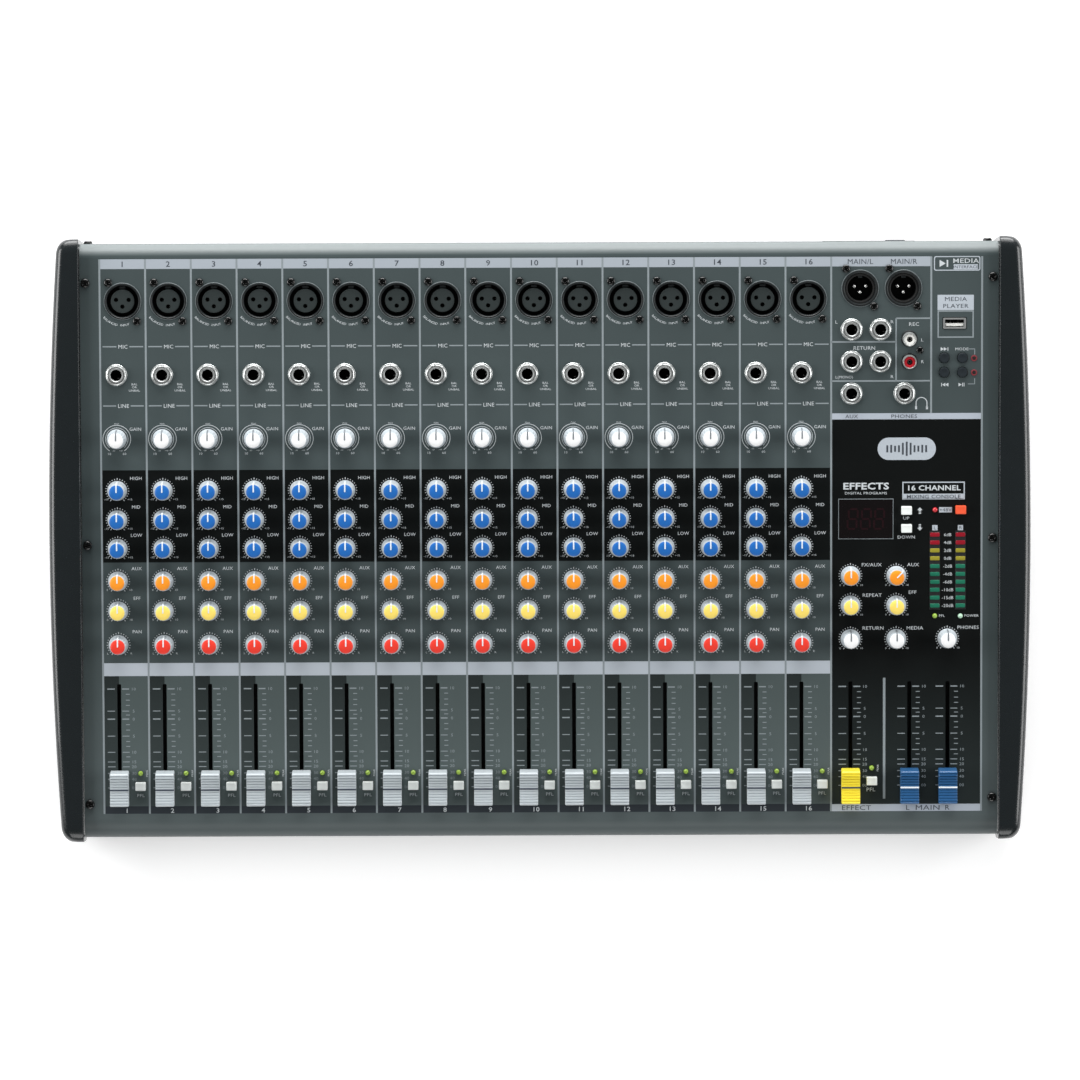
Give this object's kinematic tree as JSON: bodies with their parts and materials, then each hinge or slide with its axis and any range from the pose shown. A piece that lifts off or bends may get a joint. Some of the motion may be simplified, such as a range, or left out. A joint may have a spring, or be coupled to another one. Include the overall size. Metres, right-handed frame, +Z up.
{
  "type": "audio mixing console",
  "caption": "Free-standing audio mixing console: sloping steel panel with rotary controls, slide faders, sockets and keys between two moulded end cheeks.",
  "frame": {"origin": "on the table, below the centre of the console's box", "axes": "+X to the right along the channels, +Y to the back where the microphone sockets and the mains inlet are, +Z up; the control panel slopes up 6 degrees towards +Y"},
  "size_m": [0.594, 0.365, 0.0797],
  "materials": {
    "panel_paint": "satin powder coat, silk-screened",
    "tray_paint": "fine textured powder coat",
    "cheek_plastic": "satin moulded plastic",
    "rubber": "matte rubber",
    "socket_plastic": "satin black nylon",
    "jack_metal": "nickel plated",
    "socket_steel": "tinned steel",
    "circuit_board": "solder-masked board",
    "display_smoke": "smoked acrylic",
    "power_parts": "varnished transformer",
    "key_white": "satin plastic",
    "key_orange": "satin plastic",
    "key_black": "satin plastic",
    "knob_white": "satin plastic",
    "knob_blue": "satin plastic",
    "knob_orange": "satin plastic",
    "knob_yellow": "satin plastic",
    "knob_red": "satin plastic",
    "fader_white": "satin plastic",
    "fader_yellow": "satin plastic",
    "fader_blue": "satin plastic"
  },
  "bodies": {
    "console": {"top_panel": "panel_paint", "base_tray": "tray_paint", "left_cheek": "cheek_plastic", "right_cheek": "cheek_plastic", "foot_front_left": "rubber", "foot_front_right": "rubber", "foot_rear_left": "rubber", "foot_rear_right": "rubber", "mic_socket_board": "socket_plastic", "line_jack_board": "jack_metal", "output_board": "jack_metal", "player_module": "socket_steel", "control_board": "circuit_board", "fader_board": "circuit_board", "effect_display_window": "display_smoke", "power_supply": "power_parts", "mains_inlet": "socket_plastic"},
    "gain_knob_1": {"gain_knob_1": "knob_white"},
    "high_knob_1": {"high_knob_1": "knob_blue"},
    "mid_knob_1": {"mid_knob_1": "knob_blue"},
    "low_knob_1": {"low_knob_1": "knob_blue"},
    "aux_knob_1": {"aux_knob_1": "knob_orange"},
    "effect_knob_1": {"effect_knob_1": "knob_yellow"},
    "pan_knob_1": {"pan_knob_1": "knob_red"},
    "aux_return_knob": {"aux_return_knob": "knob_orange"},
    "aux_master_knob": {"aux_master_knob": "knob_orange"},
    "repeat_knob": {"repeat_knob": "knob_yellow"},
    "effect_master_knob": {"effect_master_knob": "knob_yellow"},
    "return_knob": {"return_knob": "knob_white"},
    "player_level_knob": {"player_level_knob": "knob_white"},
    "phones_knob": {"phones_knob": "knob_white"},
    "fader_1": {"fader_1": "fader_white"},
    "fader_2": {"fader_2": "fader_white"},
    "fader_3": {"fader_3": "fader_white"},
    "fader_4": {"fader_4": "fader_white"},
    "fader_5": {"fader_5": "fader_white"},
    "fader_6": {"fader_6": "fader_white"},
    "fader_7": {"fader_7": "fader_white"},
    "fader_8": {"fader_8": "fader_white"},
    "fader_9": {"fader_9": "fader_white"},
    "fader_10": {"fader_10": "fader_white"},
    "fader_11": {"fader_11": "fader_white"},
    "fader_12": {"fader_12": "fader_white"},
    "fader_13": {"fader_13": "fader_white"},
    "fader_14": {"fader_14": "fader_white"},
    "fader_15": {"fader_15": "fader_white"},
    "fader_16": {"fader_16": "fader_white"},
    "effect_fader": {"effect_fader": "fader_yellow"},
    "main_left_fader": {"main_left_fader": "fader_blue"},
    "main_right_fader": {"main_right_fader": "fader_blue"},
    "pfl_button_1": {"pfl_button_1": "key_white"},
    "effect_pfl_button": {"effect_pfl_button": "key_white"},
    "program_up_button": {"program_up_button": "key_white"},
    "program_down_button": {"program_down_button": "key_white"},
    "phantom_button": {"phantom_button": "key_orange"},
    "player_next_button": {"player_next_button": "key_black"},
    "player_mode_button": {"player_mode_button": "key_black"},
    "player_back_button": {"player_back_button": "key_black"},
    "player_play_button": {"player_play_button": "key_black"},
    "power_rocker": {"power_rocker": "key_black"}
  },
  "joints": [
    {"name": "gain_knob_1_turn", "type": "hinge", "parent": "console", "child": "gain_knob_1", "pos_m": [-0.2557, 0.06206, 0.06252], "axis": [0, -0.1045, 0.9945], "range_deg": [-150, 150]},
    {"name": "high_knob_1_turn", "type": "hinge", "parent": "console", "child": "high_knob_1", "pos_m": [-0.2557, 0.03093, 0.05925], "axis": [0, -0.1045, 0.9945], "range_deg": [-150, 150]},
    {"name": "mid_knob_1_turn", "type": "hinge", "parent": "console", "child": "mid_knob_1", "pos_m": [-0.2557, 0.01323, 0.05739], "axis": [0, -0.1045, 0.9945], "range_deg": [-150, 150]},
    {"name": "low_knob_1_turn", "type": "hinge", "parent": "console", "child": "low_knob_1", "pos_m": [-0.2557, -0.00418, 0.05556], "axis": [0, -0.1045, 0.9945], "range_deg": [-150, 150]},
    {"name": "aux_knob_1_turn", "type": "hinge", "parent": "console", "child": "aux_knob_1", "pos_m": [-0.2557, -0.02387, 0.05349], "axis": [0, -0.1045, 0.9945], "range_deg": [-150, 150]},
    {"name": "effect_knob_1_turn", "type": "hinge", "parent": "console", "child": "effect_knob_1", "pos_m": [-0.2557, -0.04197, 0.05159], "axis": [0, -0.1045, 0.9945], "range_deg": [-150, 150]},
    {"name": "pan_knob_1_turn", "type": "hinge", "parent": "console", "child": "pan_knob_1", "pos_m": [-0.2557, -0.06246, 0.04944], "axis": [0, -0.1045, 0.9945], "range_deg": [-150, 150]},
    {"name": "aux_return_knob_turn", "type": "hinge", "parent": "console", "child": "aux_return_knob", "pos_m": [0.188, -0.02218, 0.05367], "axis": [0, -0.1045, 0.9945], "range_deg": [-150, 150]},
    {"name": "aux_master_knob_turn", "type": "hinge", "parent": "console", "child": "aux_master_knob", "pos_m": [0.2157, -0.02218, 0.05367], "axis": [0, -0.1045, 0.9945], "range_deg": [-105, 195]},
    {"name": "repeat_knob_turn", "type": "hinge", "parent": "console", "child": "repeat_knob", "pos_m": [0.188, -0.04008, 0.05179], "axis": [0, -0.1045, 0.9945], "range_deg": [-150, 150]},
    {"name": "effect_master_knob_turn", "type": "hinge", "parent": "console", "child": "effect_master_knob", "pos_m": [0.2157, -0.04008, 0.05179], "axis": [0, -0.1045, 0.9945], "range_deg": [-150, 150]},
    {"name": "return_knob_turn", "type": "hinge", "parent": "console", "child": "return_knob", "pos_m": [0.188, -0.06047, 0.04965], "axis": [0, -0.1045, 0.9945], "range_deg": [-150, 150]},
    {"name": "player_level_knob_turn", "type": "hinge", "parent": "console", "child": "player_level_knob", "pos_m": [0.2157, -0.06047, 0.04965], "axis": [0, -0.1045, 0.9945], "range_deg": [-150, 150]},
    {"name": "phones_knob_turn", "type": "hinge", "parent": "console", "child": "phones_knob", "pos_m": [0.2467, -0.06027, 0.04967], "axis": [0, -0.1045, 0.9945], "range_deg": [-150, 150]},
    {"name": "fader_1_slide", "type": "slide", "parent": "console", "child": "fader_1", "axis": [0, 0.9945, 0.1045], "range_m": [0, 0.06]},
    {"name": "fader_2_slide", "type": "slide", "parent": "console", "child": "fader_2", "axis": [0, 0.9945, 0.1045], "range_m": [0, 0.06]},
    {"name": "fader_3_slide", "type": "slide", "parent": "console", "child": "fader_3", "axis": [0, 0.9945, 0.1045], "range_m": [0, 0.06]},
    {"name": "fader_4_slide", "type": "slide", "parent": "console", "child": "fader_4", "axis": [0, 0.9945, 0.1045], "range_m": [0, 0.06]},
    {"name": "fader_5_slide", "type": "slide", "parent": "console", "child": "fader_5", "axis": [0, 0.9945, 0.1045], "range_m": [0, 0.06]},
    {"name": "fader_6_slide", "type": "slide", "parent": "console", "child": "fader_6", "axis": [0, 0.9945, 0.1045], "range_m": [0, 0.06]},
    {"name": "fader_7_slide", "type": "slide", "parent": "console", "child": "fader_7", "axis": [0, 0.9945, 0.1045], "range_m": [0, 0.06]},
    {"name": "fader_8_slide", "type": "slide", "parent": "console", "child": "fader_8", "axis": [0, 0.9945, 0.1045], "range_m": [0, 0.06]},
    {"name": "fader_9_slide", "type": "slide", "parent": "console", "child": "fader_9", "axis": [0, 0.9945, 0.1045], "range_m": [0, 0.06]},
    {"name": "fader_10_slide", "type": "slide", "parent": "console", "child": "fader_10", "axis": [0, 0.9945, 0.1045], "range_m": [0, 0.06]},
    {"name": "fader_11_slide", "type": "slide", "parent": "console", "child": "fader_11", "axis": [0, 0.9945, 0.1045], "range_m": [0, 0.06]},
    {"name": "fader_12_slide", "type": "slide", "parent": "console", "child": "fader_12", "axis": [0, 0.9945, 0.1045], "range_m": [0, 0.06]},
    {"name": "fader_13_slide", "type": "slide", "parent": "console", "child": "fader_13", "axis": [0, 0.9945, 0.1045], "range_m": [0, 0.06]},
    {"name": "fader_14_slide", "type": "slide", "parent": "console", "child": "fader_14", "axis": [0, 0.9945, 0.1045], "range_m": [0, 0.06]},
    {"name": "fader_15_slide", "type": "slide", "parent": "console", "child": "fader_15", "axis": [0, 0.9945, 0.1045], "range_m": [0, 0.06]},
    {"name": "fader_16_slide", "type": "slide", "parent": "console", "child": "fader_16", "axis": [0, 0.9945, 0.1045], "range_m": [0, 0.06]},
    {"name": "effect_fader_slide", "type": "slide", "parent": "console", "child": "effect_fader", "axis": [0, 0.9945, 0.1045], "range_m": [0, 0.06]},
    {"name": "main_left_fader_slide", "type": "slide", "parent": "console", "child": "main_left_fader", "axis": [0, 0.9945, 0.1045], "range_m": [0, 0.06]},
    {"name": "main_right_fader_slide", "type": "slide", "parent": "console", "child": "main_right_fader", "axis": [0, 0.9945, 0.1045], "range_m": [0, 0.06]},
    {"name": "pfl_button_1_press", "type": "slide", "parent": "console", "child": "pfl_button_1", "axis": [0, 0.1045, -0.9945], "range_m": [0, 0.002], "stiffness_N_per_m": 400, "springref_m": -0.0004},
    {"name": "effect_pfl_button_press", "type": "slide", "parent": "console", "child": "effect_pfl_button", "axis": [0, 0.1045, -0.9945], "range_m": [0, 0.002], "stiffness_N_per_m": 400, "springref_m": -0.0004},
    {"name": "program_up_button_press", "type": "slide", "parent": "console", "child": "program_up_button", "axis": [0, 0.1045, -0.9945], "range_m": [0, 0.002], "stiffness_N_per_m": 400, "springref_m": -0.0004},
    {"name": "program_down_button_press", "type": "slide", "parent": "console", "child": "program_down_button", "axis": [0, 0.1045, -0.9945], "range_m": [0, 0.002], "stiffness_N_per_m": 400, "springref_m": -0.0004},
    {"name": "phantom_button_press", "type": "slide", "parent": "console", "child": "phantom_button", "axis": [0, 0.1045, -0.9945], "range_m": [0, 0.002], "stiffness_N_per_m": 400, "springref_m": -0.0004},
    {"name": "player_next_button_press", "type": "slide", "parent": "console", "child": "player_next_button", "axis": [0, 0.1045, -0.9945], "range_m": [0, 0.0006], "stiffness_N_per_m": 1500, "springref_m": -0.0004},
    {"name": "player_mode_button_press", "type": "slide", "parent": "console", "child": "player_mode_button", "axis": [0, 0.1045, -0.9945], "range_m": [0, 0.0006], "stiffness_N_per_m": 1500, "springref_m": -0.0004},
    {"name": "player_back_button_press", "type": "slide", "parent": "console", "child": "player_back_button", "axis": [0, 0.1045, -0.9945], "range_m": [0, 0.0006], "stiffness_N_per_m": 1500, "springref_m": -0.0004},
    {"name": "player_play_button_press", "type": "slide", "parent": "console", "child": "player_play_button", "axis": [0, 0.1045, -0.9945], "range_m": [0, 0.0006], "stiffness_N_per_m": 1500, "springref_m": -0.0004},
    {"name": "power_rocker_tip", "type": "hinge", "parent": "console", "child": "power_rocker", "pos_m": [0.217, 0.178, 0.033], "axis": [-1, 0, 0], "range_deg": [0, 20]}
  ]
}
